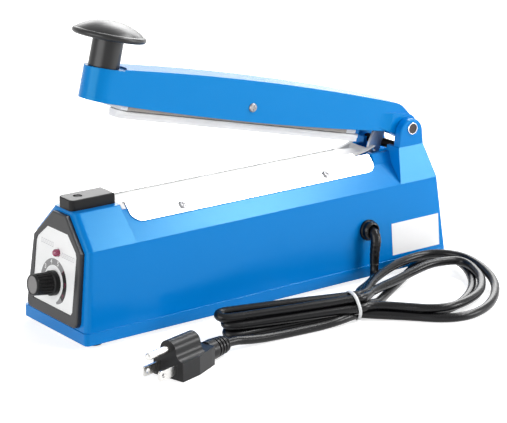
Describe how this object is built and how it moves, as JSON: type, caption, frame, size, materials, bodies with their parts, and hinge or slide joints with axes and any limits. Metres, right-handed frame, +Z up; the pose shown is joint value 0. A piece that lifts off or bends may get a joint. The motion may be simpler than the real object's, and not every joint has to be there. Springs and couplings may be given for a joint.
{
  "type": "bag heat sealer",
  "caption": "Hand-held impulse bag sealer: raked blue base with a sealing table, timer knob and a sprung hinged arm with a mushroom handle, mains lead tied in a hank",
  "frame": {"origin": "on the surface it stands on, under the middle of the sealer's footprint (cord not counted)", "axes": "+X from the control panel to the hinge, +Y to the side away from the mains lead, +Z up"},
  "size_m": [0.3222, 0.1781, 0.2001],
  "materials": {
    "housing_blue": "smooth moulded ABS, slightly glossy",
    "arm_blue": "smooth moulded, slightly glossy",
    "black_plastic": "satin moulded",
    "black_gloss": "polished phenolic",
    "label_white": "printed satin plate",
    "lamp_red": "tinted lens",
    "steel_bright": "bright rolled",
    "steel_dull": "zinc plated",
    "chrome": "polished plating",
    "brass": "bare",
    "tape_amber": "woven glass tape",
    "cloth_white": "coated woven glass cloth",
    "silicone_white": "moulded silicone",
    "white_plastic": "satin",
    "feet_rubber": "moulded",
    "cord_black": "extruded sheath",
    "board_green": "lacquered",
    "core_iron": "lacquered laminations",
    "copper": "enamelled winding",
    "spring_black": "black oxide",
    "blade_metal": "nickel plated"
  },
  "bodies": {
    "base": {"base_shell": "housing_blue", "bottom_plate": "steel_dull", "rubber_feet": "feet_rubber", "foot_screws": "steel_dull", "control_bezel": "black_plastic", "label_plate": "label_white", "indicator_lamp": "lamp_red", "timer_potentiometer": "steel_dull", "timer_board": "board_green", "transformer_core": "core_iron", "transformer_winding": "copper", "microswitch": "black_plastic", "switch_cover": "black_plastic", "insulation_tape": "tape_amber", "heating_band": "steel_bright", "band_terminals": "brass", "release_cloth": "cloth_white", "clamp_plate_near": "steel_bright", "clamp_plate_far": "steel_bright", "clamp_screws": "steel_bright", "hinge_pin": "chrome", "return_spring": "spring_black", "cable_gland": "black_plastic", "rating_sticker": "label_white", "power_cord_lead": "cord_black", "cord_hank": "cord_black", "cord_tie": "white_plastic", "power_cord_tail": "cord_black", "plug_relief": "cord_black", "plug_body": "cord_black", "plug_blades": "blade_metal", "plug_ground_pin": "blade_metal", "spring_rest": "feet_rubber"},
    "arm": {"arm_shell": "arm_blue", "strip_channel": "steel_dull", "silicone_strip": "silicone_white", "strip_end_block": "white_plastic", "arm_screws": "steel_bright", "press_handle": "black_gloss", "handle_bolt": "steel_dull", "strike_pin": "steel_bright", "lift_lever": "steel_dull"},
    "knob": {"timer_knob": "black_plastic", "timer_shaft": "steel_dull"},
    "plunger": {"switch_plunger": "black_plastic"}
  },
  "joints": [
    {"name": "arm_hinge", "type": "hinge", "parent": "base", "child": "arm", "pos_m": [0.1347, 0, 0.098], "axis": [0, -1, 0], "range_deg": [0, 13.5], "stiffness_Nm_per_rad": 1, "springref_deg": -34.38},
    {"name": "timer_knob_turn", "type": "hinge", "parent": "base", "child": "knob", "pos_m": [-0.14871, 0, 0.03594], "axis": [-0.9932, 0, 0.1162], "range_deg": [-120, 120]},
    {"name": "switch_press", "type": "slide", "parent": "base", "child": "plunger", "axis": [0, 0, -1], "range_m": [0, 0.002], "stiffness_N_per_m": 300, "springref_m": -0.002}
  ]
}
